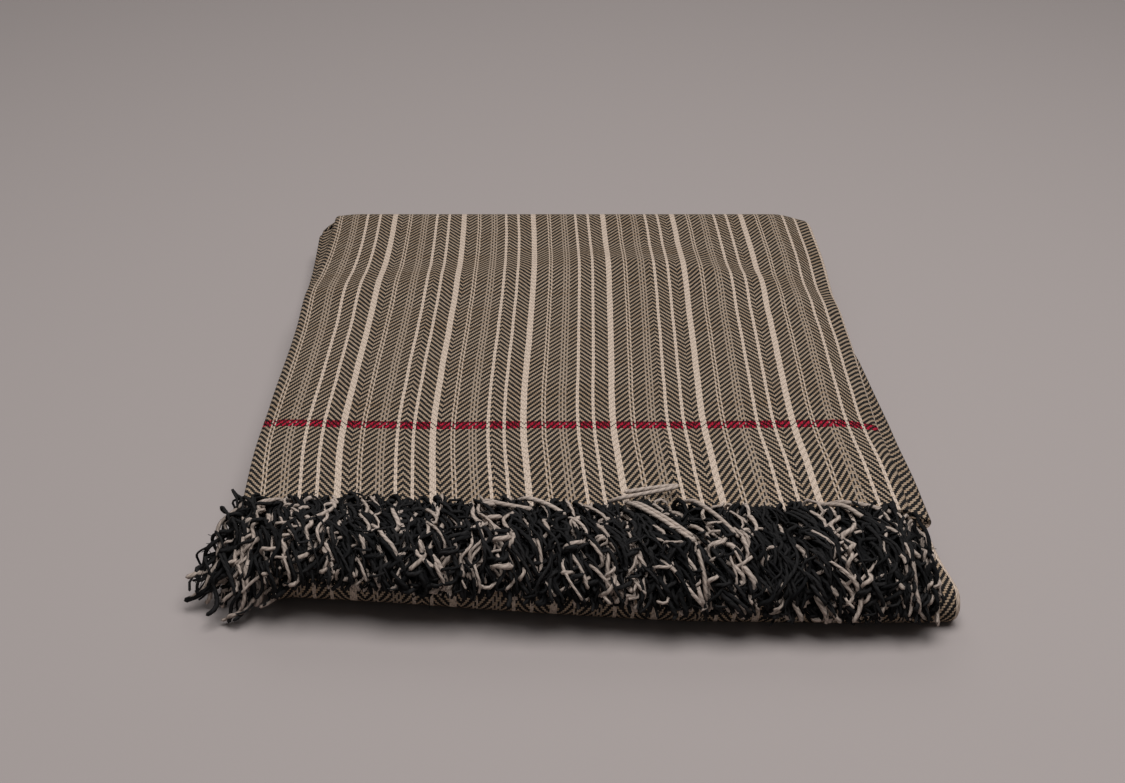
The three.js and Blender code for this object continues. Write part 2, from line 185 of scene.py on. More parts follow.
class Stack:
    """The folded throw as numbers: its plies and packets in a square stack, and how they settle."""

    plies = 4
    packets = 4

    def __init__(self, fold):
        self.thickness = fold.cloth_thickness / MM
        self.width = fold.folded_width / MM
        self.ply_pitch = self.thickness + fold.ply_gap / MM
        self.packet_thickness = self.plies * self.thickness + (self.plies - 1) * fold.ply_gap / MM
        self.packet_pitch = self.packet_thickness + fold.packet_gap / MM
        self.height = self.packets * self.packet_pitch - fold.packet_gap / MM
        self.half_width = self.width / 2
        self.side_fold_x = self.half_width - self.packet_thickness / 2
        self.top_ply_z = self.height - self.thickness / 2
        self.lowest_fringe_z = self.top_ply_z - self.packet_pitch - (self.plies - 1) * self.ply_pitch
        self.places = {
            "back_fold": fold.back_fold_y / MM,
            "front_fold": fold.front_fold_y / MM,
            "upper_end": fold.upper_end_y / MM,
            "lower_end": fold.lower_end_y / MM,
        }

    def packet_z(self, packet):
        return self.packet_thickness / 2 + packet * self.packet_pitch

    def ply_offsets(self):
        """Centre heights of a packet's plies, from its outer face to its inner one."""
        return [(self.plies / 2 - 0.5 - ply) * self.ply_pitch for ply in range(self.plies)]

    def section(self, top_steps, other_steps):
        """The cloth folded in four across: centre points, the way to their left, and flat places across."""
        outer, second, third, lowest = self.ply_offsets()
        left_fold_x = -self.half_width + (self.ply_pitch + self.thickness) / 2
        quarter = math.pi / 2
        points, lefts = [], []

        def ply(from_x, to_x, n, steps):
            x = np.linspace(from_x, to_x, steps + 1)
            points.append(np.column_stack([x, np.full_like(x, n)]))
            lefts.append(np.tile([0.0, math.copysign(1.0, to_x - from_x)], (len(x), 1)))

        def turn(centre_x, centre_n, radius, from_angle, to_angle, steps):
            angle = np.linspace(from_angle, to_angle, steps + 1)[1:-1]
            round_it = np.column_stack([np.cos(angle), np.sin(angle)])
            points.append(np.array([centre_x, centre_n]) + radius * round_it)
            lefts.append(round_it * math.copysign(1.0, from_angle - to_angle))

        ply(-self.half_width + SELVEDGE_INSET["lower"], self.side_fold_x, lowest, other_steps)
        turn(self.side_fold_x, 0.0, outer, -quarter, quarter, 14)
        ply(self.side_fold_x, left_fold_x, outer, top_steps)
        turn(left_fold_x, (outer + second) / 2, self.ply_pitch / 2, quarter, 3 * quarter, 8)
        ply(left_fold_x, self.side_fold_x, second, other_steps)
        turn(self.side_fold_x, 0.0, second, quarter, -quarter, 8)
        ply(self.side_fold_x, -self.half_width + SELVEDGE_INSET["inner"], third, other_steps)
        at, left = np.vstack(points), np.vstack(lefts)
        across = np.concatenate([[0.0], np.cumsum(np.linalg.norm(np.diff(at, axis=0), axis=1))])
        return at, left, across

    def stations(self):
        """Places of the packet along the cloth: y, z, and which way its outer face points in y and z."""
        rows = []
        for index, (packet, start, end, run_steps, turn_steps) in enumerate(RUNS):
            z, from_y, to_y = self.packet_z(packet), self.places[start], self.places[end]
            way = math.copysign(1.0, to_y - from_y)
            rows += [(y, z, 0.0, -way) for y in np.linspace(from_y, to_y, run_steps + 1)]
            if not turn_steps:
                continue
            next_z = self.packet_z(RUNS[index + 1][0])
            climb = math.copysign(1.0, next_z - z)
            radius = abs(next_z - z) / 2
            for angle in np.linspace(-math.pi / 2, math.pi / 2, turn_steps + 1)[1:-1]:
                bulge, rise = math.cos(angle), math.sin(angle) * climb
                outward = way * climb
                rows.append((to_y + way * radius * bulge, (z + next_z) / 2 + radius * rise,
                             outward * way * bulge, outward * rise))
        return np.array(rows)

    def height_share(self, x, y):
        """Height of the settled stack at a place, as a share of the square one."""
        behind = y - eased_table(x, RIDGE_X, RIDGE_Y)
        ridge = RIDGE_RISE * np.exp(-((behind / RIDGE_REACH) ** 2))
        back = BACK_FALL * ease(behind, 0.0, BACK_FALL_LENGTH)
        front = FRONT_FALL * ease(y, *FRONT_FALL_Y)
        puff = FRONT_PUFF * ease(y, *FRONT_PUFF_Y)
        sides = RIGHT_DROOP * ease(x, *RIGHT_DROOP_X) + LEFT_DROOP * ease(x, *LEFT_DROOP_X)
        return 1.0 + ridge - back - front + puff - sides * (1.0 - ease(y, *DROOP_END_Y))

    def front_lift(self, x, y):
        """How far the front fold stands off the surface, most at the left."""
        return FRONT_LIFT * ease(y, *FRONT_LIFT_Y) * ease(x, *FRONT_LIFT_X) * ease(x, *LIFT_CORNER_X)

    def side_slip(self, y, z):
        """How far the lower packets have slid under the upper ones, more gradually round the back fold."""
        from_z = SLIP_FROM_Z - SLIP_SINK * ease(y, *SLIP_SINK_Y)
        return np.interp(y, SLIP_Y, SLIP_X) * (1.0 - ease(z, from_z, SLIP_TO_Z))

    def crease_rise(self, x, y):
        """Rise of the listed creases at a place of the top."""
        total = np.zeros_like(x)
        for from_x, from_y, to_x, to_y, half_width, rise in CREASES:
            along_x, along_y = to_x - from_x, to_y - from_y
            length = math.hypot(along_x, along_y)
            share = ((x - from_x) * along_x + (y - from_y) * along_y) / length ** 2
            away = ((x - from_x) * along_y - (y - from_y) * along_x) / length
            past = np.maximum(np.abs(share - 0.5) - 0.5, 0.0) * length
            total += rise * np.exp(-(away / half_width) ** 2 - (past / (2 * half_width)) ** 2)
        return total

    def settle(self, points, slip):
        """Takes points of the square stack to their places in the settled one."""
        x, y, z = points[..., 0], points[..., 1], points[..., 2]
        share = z / self.height
        sway = SWAY * np.sin((y - SWAY_START_Y) / SWAY_LENGTH) * share
        sides = LEFT_BEND * ease(x, *LEFT_BEND_X) + RIGHT_BEND * ease(x, *RIGHT_BEND_X)
        bend = sides * np.exp(-((y - BEND_Y) / BEND_REACH) ** 2)
        bow = np.interp(x, BOW_X, BOW_Y) * ease(y, *BOW_REACH_Y)
        rise = self.crease_rise(x, y) * np.clip(share, 0.0, 1.0) ** 2 * (1.0 - ease(y, *CREASE_END_Y))
        settled_z = z * self.height_share(x, y) + self.front_lift(x, y) + rise
        return np.stack([x + slip + sway - bend, y + bow, settled_z], axis=-1)


def mesh_object(name, points_mm, faces, corner_maps, material):
    """A smooth mesh from points in millimetres, faces of equal corners, and UV maps given by corner."""
    mesh = bpy.data.meshes.new(name)
    count, corners = faces.shape
    mesh.vertices.add(len(points_mm))
    mesh.vertices.foreach_set("co", (points_mm * MM).astype(np.float32).ravel())
    mesh.loops.add(count * corners)
    mesh.loops.foreach_set("vertex_index", faces.astype(np.int32).ravel())
    mesh.polygons.add(count)
    mesh.polygons.foreach_set("loop_start", np.arange(0, count * corners, corners, dtype=np.int32))
    mesh.update(calc_edges=True)
    for map_name, values in corner_maps.items():
        layer = mesh.uv_layers.new(name=map_name)
        layer.data.foreach_set("uv", values.astype(np.float32).ravel())
    mesh.polygons.foreach_set("use_smooth", np.ones(count, dtype=bool))
    mesh.materials.append(material)
    mesh.validate()
    made = bpy.data.objects.new(name, mesh)
    bpy.context.scene.collection.objects.link(made)
    return made


def set_on_frame(piece, node):
    """Lets a piece ride on the frame in place of a node's solid."""
    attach(piece, "root")
    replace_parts(piece, node)


class Wiring:
    """Adds nodes to a material and joins them."""

    def __init__(self, name):
        self.material = bpy.data.materials.new(name)
        self.material.use_nodes = True
        self.tree = self.material.node_tree
        self.shader = next(n for n in self.tree.nodes if n.type == "BSDF_PRINCIPLED")

    def join(self, value, socket):
        if isinstance(value, bpy.types.NodeSocket):
            self.tree.links.new(value, socket)
        else:
            socket.default_value = value

    def node(self, kind, **settings):
        made = self.tree.nodes.new(kind)
        for key, value in settings.items():
            setattr(made, key, value)
        return made

    def math(self, operation, *values):
        made = self.node("ShaderNodeMath", operation=operation)
        for value, socket in zip(values, made.inputs):
            self.join(value, socket)
        return made.outputs[0]

    def mix(self, share, first, second):
        made = self.node("ShaderNodeMix", data_type="RGBA")
        for value, socket in zip((share, first, second), (made.inputs[0], made.inputs[6], made.inputs[7])):
            self.join(value, socket)
        return made.outputs[2]

    def scaled(self, colour, factor):
        made = self.node("ShaderNodeVectorMath", operation="SCALE")
        self.join(colour, made.inputs[0])
        self.join(factor, made.inputs["Scale"])
        return made.outputs[0]

    def uv(self, name):
        parts = self.node("ShaderNodeSeparateXYZ")
        self.join(self.node("ShaderNodeUVMap", uv_map=name).outputs[0], parts.inputs[0])
        return parts.outputs[0], parts.outputs[1]

    def vector(self, x, y):
        made = self.node("ShaderNodeCombineXYZ")
        self.join(x, made.inputs[0])
        self.join(y, made.inputs[1])
        return made.outputs[0]

    def noise(self, vector, scale, detail=2.0):
        made = self.node("ShaderNodeTexNoise", noise_dimensions="2D")
        self.join(vector, made.inputs["Vector"])
        self.join(scale, made.inputs["Scale"])
        self.join(detail, made.inputs["Detail"])
        return made.outputs[0]

    def scatter(self, number):
        made = self.node("ShaderNodeTexWhiteNoise", noise_dimensions="1D")
        self.join(number, made.inputs["W"])
        return made.outputs[0]

    def bump(self, height, distance, strength):
        made = self.node("ShaderNodeBump")
        self.join(height, made.inputs["Height"])
        made.inputs["Distance"].default_value = distance
        made.inputs["Strength"].default_value = strength
        self.join(made.outputs[0], self.shader.inputs["Normal"])


def weave_material(weave, broad_stripe_u, end_v):
    """Two-up two-down herringbone at its true thread size, on the cloth's flat places.

    broad_stripe_u is the flat place across of the first broad stripe, and end_v that of the upper end."""
    w = Wiring("herringbone_cotton")
    flat_u, flat_v = w.uv(FLAT_MAP)
    flat = w.vector(flat_u, flat_v)
    drift = w.math("SUBTRACT", w.noise(flat, 16.0), 0.5)
    waver = w.math("SUBTRACT", w.noise(flat, 260.0, 1.0), 0.5)
    bow = w.math("SUBTRACT", w.noise(flat, 9.0), 0.5)

    # Warp ends count rightwards on the top, weft picks backwards from the upper end
    ends = w.math("DIVIDE", w.math("SUBTRACT", broad_stripe_u, flat_u), weave.end_pitch)
    ends = w.math("ADD", ends, w.math("MULTIPLY", drift, 1.2))
    ends = w.math("ADD", ends, w.math("MULTIPLY", waver, 0.5))
    picks = w.math("DIVIDE", w.math("SUBTRACT", flat_v, end_v), weave.pick_pitch)
    picks = w.math("ADD", picks, w.math("MULTIPLY", bow, 2.0))
    picks = w.math("ADD", picks, w.math("MULTIPLY", waver, 0.4))
    end, end_share = w.math("FLOOR", ends), w.math("FRACT", ends)
    pick, pick_share = w.math("FLOOR", picks), w.math("FRACT", picks)

    # Black and cream ends by the stripe table
    ramp = w.node("ShaderNodeValToRGB")
    ramp.color_ramp.interpolation = "CONSTANT"
    stops = []
    for k in range(weave.repeat_ends):
        pale = CREAM_ENDS.get(k, 0.0)
        if not stops or pale != stops[-1][1]:
            stops.append((k / weave.repeat_ends, pale))
    while len(ramp.color_ramp.elements) < len(stops):
        ramp.color_ramp.elements.new(1.0)
    for element, (position, pale) in zip(ramp.color_ramp.elements, stops):
        element.position = position
        element.color = (pale, pale, pale, 1.0)
    w.join(w.math("FRACT", w.math("DIVIDE", w.math("ADD", end, 2.5), float(weave.repeat_ends))), ramp.inputs[0])
    pale = ramp.outputs[0]

    # The twill turns where the herringbone turns. Warp floats reach a little past their two picks.
    turn = w.math("SUBTRACT", end, 2.0 * weave.repeat_ends + 0.5)
    herringbone = w.math("FRACT", w.math("DIVIDE", turn, float(weave.herringbone_ends)))
    rising = w.math("LESS_THAN", herringbone, 0.61)
    way = w.math("SUBTRACT", 1.0, w.math("MULTIPLY", rising, 2.0))
    twill = w.math("MULTIPLY", way, end)
    step = w.math("FLOORED_MODULO", w.math("ADD", twill, pick), 4.0)
    float_place = w.math("FLOORED_MODULO", w.math("ADD", w.math("ADD", twill, picks), weave.float_reach), 4.0)
    float_length = 2.0 + 2.0 * weave.float_reach
    broad = w.math("GREATER_THAN", pale, 0.95)
    twill_up = w.math("LESS_THAN", float_place, w.math("MULTIPLY_ADD", broad, 0.8, float_length))

    # The red line is a coarse check of two rows, under the cream ends
    line_middle = weave.red_line_from_end / weave.pick_pitch
    in_line = w.math("COMPARE", picks, line_middle, weave.red_line_picks / 2)
    row = w.math("GREATER_THAN", picks, line_middle)
    row_end = w.math("ADD", end, w.math("MULTIPLY", row, 2.0))
    check = w.math("LESS_THAN", w.math("FLOORED_MODULO", row_end, 4.0), 1.5)
    narrow = w.math("COMPARE", end_share, 0.5, 0.3)
    line_up = w.math("MAXIMUM", w.math("MULTIPLY", check, narrow), w.math("GREATER_THAN", pale, 0.8))
    warp_up = w.math("ADD", w.math("MULTIPLY", in_line, line_up), w.math(
        "MULTIPLY", w.math("SUBTRACT", 1.0, in_line), twill_up))

    # Each thread is round across, and dips at the two ends of its float
    warp_round = w.math("SUBTRACT", 1.0, w.math("POWER", w.math("ABSOLUTE", w.math(
        "MULTIPLY_ADD", end_share, 2.0, -1.0)), 2.0))
    weft_round = w.math("SUBTRACT", 1.0, w.math("POWER", w.math("ABSOLUTE", w.math(
        "MULTIPLY_ADD", pick_share, 2.0, -1.0)), 2.0))
    warp_along = w.math("DIVIDE", float_place, float_length / 2)
    end_forward = w.math("ADD", w.math("MULTIPLY", way, w.math("SUBTRACT", end_share, 0.5)), 0.5)
    weft_along = w.math("ADD", w.math("SUBTRACT", step, 2.0), end_forward)
    warp_dip = w.math("SUBTRACT", 1.0, w.math("POWER", w.math("ABSOLUTE", w.math(
        "SUBTRACT", warp_along, 1.0)), 4.0))
    weft_dip = w.math("SUBTRACT", 1.0, w.math("POWER", w.math("ABSOLUTE", w.math(
        "SUBTRACT", weft_along, 1.0)), 4.0))
    warp_height = w.math("MULTIPLY", warp_round, w.math("MULTIPLY_ADD", warp_dip, 0.5, 0.5))
    weft_height = w.math("MULTIPLY", weft_round, w.math("MULTIPLY_ADD", weft_dip, 0.5, 0.5))
    height = w.math("ADD", w.math("MULTIPLY", warp_up, warp_height), w.math(
        "MULTIPLY", w.math("SUBTRACT", 1.0, warp_up), weft_height))

    # Yarn colours: ecru picks with some tan, and the red line
    warp = w.mix(pale, weave.black, weave.cream)
    tan_share = w.math("MULTIPLY", w.math("POWER", w.scatter(pick), 2.0), w.noise(w.vector(
        w.math("MULTIPLY", flat_u, 0.12), flat_v), 120.0))
    tan_share = w.math("MULTIPLY_ADD", w.math("SUBTRACT", w.noise(flat, 34.0), 0.5), 0.9, tan_share)
    weft = w.mix(w.math("MINIMUM", w.math("MAXIMUM", tan_share, 0.0), 1.0), weave.ecru, weave.tan)
    weft = w.mix(w.math("MULTIPLY", broad, 0.6), weft, weave.cream)
    weft = w.mix(in_line, weft, weave.red)
    yarn = w.mix(warp_up, weft, warp)
    slub = w.noise(w.vector(w.math("MULTIPLY", flat_u, 5.0), w.math("MULTIPLY", flat_v, 5.0)), 150.0, 3.0)
    # Painted shade: the colour darkens where each thread rounds off and dips at the ends of its float, less on
    # the broad stripes; the slub noise is the yarn's own uneven tone
    painted_gap_shade_strength = w.math("MULTIPLY_ADD", broad, 0.35, -0.55)
    depth = w.math("MULTIPLY_ADD", w.math("SUBTRACT", 1.0, height), painted_gap_shade_strength, 1.05)
    painted_shade_and_tone = w.math("MULTIPLY", depth, w.math("MULTIPLY_ADD", slub, 0.5, 0.72))
    w.join(w.scaled(yarn, painted_shade_and_tone), w.shader.inputs["Base Color"])
    w.bump(height, 0.0004, 0.7)
    w.shader.inputs["Roughness"].default_value = 0.92
    w.shader.inputs["Specular IOR Level"].default_value = 0.12
    return w.material


def yarn_material(name, colour, pale_colour, twist_pitch):
    """Cotton yarn of two plies twisted together, its tone set strand by strand, with shade painted into the
    grooves of the twist.
    """
    w = Wiring(name)
    round_it, along = w.uv(YARN_MAP)
    tone = w.node("ShaderNodeAttribute", attribute_name=TONE).outputs["Fac"]
    turns = w.math("ADD", w.math("MULTIPLY", round_it, 2.0), w.math("DIVIDE", along, twist_pitch))
    ply = w.math("ABSOLUTE", w.math("SINE", w.math("MULTIPLY", turns, math.pi)))
    fibre = w.noise(w.vector(w.math("MULTIPLY", turns, 3.0), w.math("MULTIPLY", along, 700.0)), 2.0, 3.0)
    yarn = w.mix(w.math("MULTIPLY", tone, fibre), colour, pale_colour)
    # Painted shade: the colour darkens in the grooves between the two twisted plies; the fibre noise is the
    # yarn's own uneven tone
    painted_shade_and_tone = w.math("MULTIPLY", w.math("MULTIPLY_ADD", ply, 0.4, 0.65), w.math("MULTIPLY_ADD", fibre, 0.5, 0.75))
    w.join(w.scaled(yarn, painted_shade_and_tone), w.shader.inputs["Base Color"])
    w.bump(w.math("MULTIPLY_ADD", fibre, 0.5, ply), 0.0003, 0.6)
    w.shader.inputs["Roughness"].default_value = 0.95
    w.shader.inputs["Specular IOR Level"].default_value = 0.08
    return w.material


def smooth_lines(points, count):
    """Runs a smooth line through each row of points and takes evenly spaced places on it."""
    lines, knots, _ = points.shape
    first, last = 2 * points[:, :1] - points[:, 1:2], 2 * points[:, -1:] - points[:, -2:-1]
    before = np.concatenate([first, points, last], axis=1)
    t = np.linspace(0.0, knots - 1.0, 6 * count)
    k = np.minimum(t.astype(int), knots - 2)
    s = (t - k)[None, :, None]
    p0, p1, p2, p3 = (before[:, k + j] for j in range(4))
    fine = 0.5 * (2 * p1 + (p2 - p0) * s + (2 * p0 - 5 * p1 + 4 * p2 - p3) * s ** 2
                  + (3 * p1 - p0 - 3 * p2 + p3) * s ** 3)
    steps = np.linalg.norm(np.diff(fine, axis=1), axis=2)
    run = np.concatenate([np.zeros((lines, 1)), np.cumsum(steps, axis=1)], axis=1)
    even = np.empty((lines, count, 3))
    for line in range(lines):
        wanted = np.linspace(0.0, run[line, -1], count)
        for axis in range(3):
            even[line, :, axis] = np.interp(wanted, run[line], fine[line, :, axis])
    return even


def strand_object(name, lines, radii, tones, sides, material):
    """One mesh of many round strands, each closed at both ends. Lines and radii are in millimetres."""
    strands, count, _ = lines.shape
    tangent = np.gradient(lines, axis=1)
    tangent /= np.linalg.norm(tangent, axis=2, keepdims=True)
    normal = np.cross(tangent[:, 0], np.array([0.31, 0.87, 0.38]))
    rings = np.empty((strands, count, sides, 3))
    angle = np.arange(sides) * 2 * math.pi / sides
    run = np.concatenate([np.zeros((strands, 1)), np.cumsum(
        np.linalg.norm(np.diff(lines, axis=1), axis=2), axis=1)], axis=1)
    for k in range(count):
        normal -= np.sum(normal * tangent[:, k], axis=1, keepdims=True) * tangent[:, k]
        normal /= np.linalg.norm(normal, axis=1, keepdims=True)
        other = np.cross(tangent[:, k], normal)
        out = normal[:, None] * np.cos(angle)[:, None] + other[:, None] * np.sin(angle)[:, None]
        rings[:, k] = lines[:, k, None] + out * radii[:, k, None, None]
    tips = np.stack([lines[:, 0] - tangent[:, 0] * radii[:, 0, None],
                     lines[:, -1] + tangent[:, -1] * radii[:, -1, None]], axis=1)
    points = np.concatenate([rings.reshape(strands, -1, 3), tips], axis=1)
    each = count * sides + 2
    k, j = np.meshgrid(np.arange(count - 1), np.arange(sides), indexing="ij")
    after = (j + 1) % sides
    a, b, c, d = k * sides + j, k * sides + after, (k + 1) * sides + after, (k + 1) * sides + j
    side_faces = np.concatenate(
        [np.stack([a, b, c], -1).reshape(-1, 3), np.stack([a, c, d], -1).reshape(-1, 3)])
    ring = np.arange(sides)
    nexts = (ring + 1) % sides
    last = (count - 1) * sides
    root_cap = np.stack([nexts, ring, np.full(sides, each - 2)], -1)
    tip_cap = np.stack([last + ring, last + nexts, np.full(sides, each - 1)], -1)
    faces = np.concatenate([side_faces, root_cap, tip_cap])
    side = j.ravel()
    caps = np.repeat(np.concatenate([ring, ring])[:, None] + 0.5, 3, axis=1)
    corner_round = np.concatenate(
        [np.stack([side, side + 1, side + 1], -1), np.stack([side, side + 1, side], -1), caps])
    run_points = np.concatenate([np.repeat(run, sides, axis=1), run[:, :1], run[:, -1:]], axis=1)
    corner_run = run_points[:, faces]
    corner_map = np.stack([np.broadcast_to(corner_round / sides, corner_run.shape), corner_run * MM], axis=-1)
    all_faces = (faces[None] + (np.arange(strands) * each)[:, None, None]).reshape(-1, 3)
    made = mesh_object(name, points.reshape(-1, 3), all_faces, {YARN_MAP: corner_map.reshape(-1, 2)}, material)
    attribute = made.data.attributes.new(TONE, "FLOAT", "POINT")
    attribute.data.foreach_set("value", np.repeat(tones, each).astype(np.float32))
    return made


class Bunches:
    """Neighbouring strands that cling together and share their bends, but for a little of their own."""

    def __init__(self, rng, parts, size):
        self.rng = rng
        self.strands = len(parts)
        self.index = np.cumsum(parts | (rng.random(self.strands) < 1.0 / size))
        self.count = self.index[-1] + 1

    def spread(self, low, high, own):
        """A value for each strand, shared by its bunch."""
        shared = self.rng.uniform(low, high, self.count)[self.index]
        return shared + self.rng.uniform(-own, own, self.strands)

    def phase(self, own):
        return self.spread(0.0, 6.0, own)[:, None]


def fallen_lines(roots, depth, bunches, points):
    """Lines over the front fold. At the left corner some bunches fall outwards, some forwards."""
    root_x = roots[:, 0]
    fall = np.array(FALL)
    share = np.arange(1, len(fall) + 1) / len(fall)
    corner = ease(root_x, *CORNER_X)
    tuft = bunches.rng.integers(0, len(CORNER_TUFTS), bunches.count)[bunches.index]
    tuft_x, tuft_y, tuft_z = np.array(CORNER_TUFTS)[tuft].T
    lean = np.interp(root_x, LEAN_X, LEAN) + bunches.spread(-10.0, 10.0, 2.0)
    lean = lean + corner * (tuft_x + bunches.spread(-4.0, 4.0, 1.5) - root_x - lean)
    longer = RIGHT_DROP * ease(root_x, *RIGHT_DROP_X)
    knots = np.empty((len(roots), len(fall) + 1, 3))
    knots[:, 0] = roots
    for k, (outer_y, outer_z, inner_y, inner_z) in enumerate(fall):
        y = outer_y + (inner_y - outer_y) * depth
        z = outer_z + (inner_z - outer_z) * depth - longer * share[k] ** 4
        y = y + corner * (tuft_y - fall[-1, 0]) * share[k] ** 2
        z = z - corner * (z - tuft_z) * share[k] ** 2
        knots[:, k + 1] = np.column_stack([root_x + lean * share[k] ** 1.4, y, z])
    reach = np.clip(bunches.spread(0.70, 1.04, 0.08), 0.5, 1.0)
    cut = np.linspace(0.0, 1.0, 14)[None] * reach[:, None] * len(fall)
    low = np.minimum(cut.astype(int), len(fall) - 1)
    rows = np.arange(len(roots))[:, None]
    part = (cut - low)[..., None]
    return smooth_lines(knots[rows, low] * (1 - part) + knots[rows, low + 1] * part, points)


def curled_lines(lines, run, bunches, curl):
    """Lines of yarn that springs back into curls once it is free of the weave."""
    grows = ease(run, 0.0, 12.0)
    along = np.gradient(lines, axis=1)
    along /= np.linalg.norm(along, axis=2, keepdims=True)
    sideways = np.broadcast_to(np.array([1.0, 0.0, 0.0]), lines.shape)
    outward = np.cross(along, sideways)
    outward /= np.linalg.norm(outward, axis=2, keepdims=True)
    period = bunches.spread(11.0, 26.0, 1.5)[:, None]
    turns = 2 * math.pi * run / period + bunches.spread(0.0, 2 * math.pi, 0.5)[:, None]
    ripple = bunches.spread(7.0, 13.0, 1.0)[:, None]
    turns = turns + 1.2 * np.sin(run / ripple + bunches.phase(0.3))
    hand = np.where(bunches.rng.random(bunches.count) < 0.5, -1.0, 1.0)[bunches.index][:, None]
    depth = curl * bunches.spread(0.3, 1.0, 0.15)[:, None] * grows
    wander = bunches.spread(40.0, 80.0, 4.0)[:, None]
    drift = 3.0 * np.sin(2 * math.pi * run / wander + bunches.phase(0.4))
    side_move = depth * np.cos(turns) + drift * grows
    out_move = depth * (0.35 + hand * np.sin(turns))
    along_move = 0.7 * depth * np.sin(turns + 1.1)
    return lines + (side_move[..., None] * sideways + out_move[..., None] * outward
                    + along_move[..., None] * along)


def keep_out(stack, lines, run, root_y, radius):
    """Keeps strands off the right edge and the top, and out of the front fold and the plies under them."""
    lines[..., 0] -= 0.7 * np.maximum(lines[..., 0] - RIGHT_LIMIT, 0.0)
    lines[..., 1] -= 0.8 * np.maximum(lines[..., 1] - root_y - 0.5, 0.0)
    nose_y, nose_z = stack.places["front_fold"], stack.packet_pitch / 2 + stack.packet_thickness / 2
    nose = nose_z + radius
    from_nose = lines[..., 1:] - np.array([nose_y, nose_z])
    distance = np.linalg.norm(from_nose, axis=2)
    inside = (lines[..., 1] < nose_y) & (distance < nose)
    push = np.where(inside, nose / np.maximum(distance, 1e-3), 1.0)
    lines[..., 1:] = np.array([nose_y, nose_z]) + from_nose * push[..., None]
    over = (lines[..., 1] >= nose_y) & (run > 4.0)
    lines[..., 2] = np.where(over, np.maximum(lines[..., 2], nose_z + nose), lines[..., 2])


def fringe_lines(stack, fringe, packet, end, out_z, seed):
    """Lines of the strands of one end of the cloth, their radii and tones, and whether each is cream."""
    rng = np.random.default_rng(seed)
    at, _, across = stack.section(40, 40)
    pitch = fringe.strand_pitch / MM
    places = np.arange(pitch / 2, across[-1], pitch)
    strands = len(places)
    root_z = stack.packet_z(packet) + out_z * np.interp(places, across, at[:, 1])
    roots = np.column_stack([np.interp(places, across, at[:, 0]), np.full(strands, stack.places[end]), root_z])
    depth = (stack.top_ply_z - root_z) / (stack.top_ply_z - stack.lowest_fringe_z)
    depth = np.clip(depth + rng.normal(0.0, 0.14, strands), -0.1, 1.0)

    # Strands over cream ends are cream, and a bunch is of one colour
    weave = bpy.context.scene.throw_weave
    ends = (stripe_place(stack) - places - SLIDE[0]) / (weave.end_pitch / MM)
    cream = np.isin(np.floor(ends + 2.5).astype(int) % weave.repeat_ends, list(CREAM_ENDS))
    bunches = Bunches(rng, np.append(False, cream[1:] != cream[:-1]), fringe.bunch_size)

    radius = fringe.strand_radius / MM
    lines = fallen_lines(roots, depth, bunches, fringe.strand_points)
    length = np.linalg.norm(np.diff(lines, axis=1), axis=2).sum(1)
    run = np.linspace(0.0, 1.0, fringe.strand_points)[None] * length[:, None]
    lines = curled_lines(lines, run, bunches, fringe.curl_depth / MM)
    keep_out(stack, lines, run, stack.places[end], radius)
    settled = stack.settle(lines, stack.side_slip(stack.places[end], stack.packet_z(packet)))
    settled[..., 2] -= 0.6 * np.maximum(settled[..., 2] - HIGH_STRAND, 0.0)
    settled[..., 2] = np.maximum(settled[..., 2], radius)

    radii = radius * rng.uniform(0.7, 1.35, strands)[:, None] * np.where(cream, 1.12, 1.0)[:, None] * (
        1.0 + 0.14 * np.sin(run / rng.uniform(2.0, 5.0, strands)[:, None]))
    return settled, radii, rng.random(strands), cream


def fuzz_lines(strands, count, length, rng):
    """Short loose fibres that stand off the strands, beyond their roots. Lines are in millimetres."""
    rows, points, _ = strands.shape
    line, place = rng.integers(0, rows, count), rng.integers(points // 6, points - 1, count)
    root = strands[line, place]
    along = strands[line, place + 1] - root
    along /= np.linalg.norm(along, axis=1, keepdims=True)
    way = along + rng.normal(0.0, 0.7, (count, 3))
    way /= np.linalg.norm(way, axis=1, keepdims=True)
    bend = rng.normal(0.0, 0.5, (count, 3))
    t = np.linspace(0.0, 1.0, 5)[None, :, None]
    long = length * rng.uniform(0.4, 1.0, (count, 1, 1))
    lines = root[:, None] + long * (way[:, None] * t + bend[:, None] * t ** 2)
    lines[..., 2] = np.clip(lines[..., 2], 0.4, HIGHEST_FIBRE)
    return lines


def stripe_place(stack):
    """Flat place across of the first broad stripe's middle, which lies on the top ply."""
    weave = bpy.context.scene.throw_weave
    at, _, across = stack.section(40, 40)
    top = np.flatnonzero(np.isclose(at[:, 1], stack.ply_offsets()[0]))
    order = top[np.argsort(at[top, 0])]
    return float(np.interp(weave.broad_stripe_x / MM, at[order, 0], across[order]))


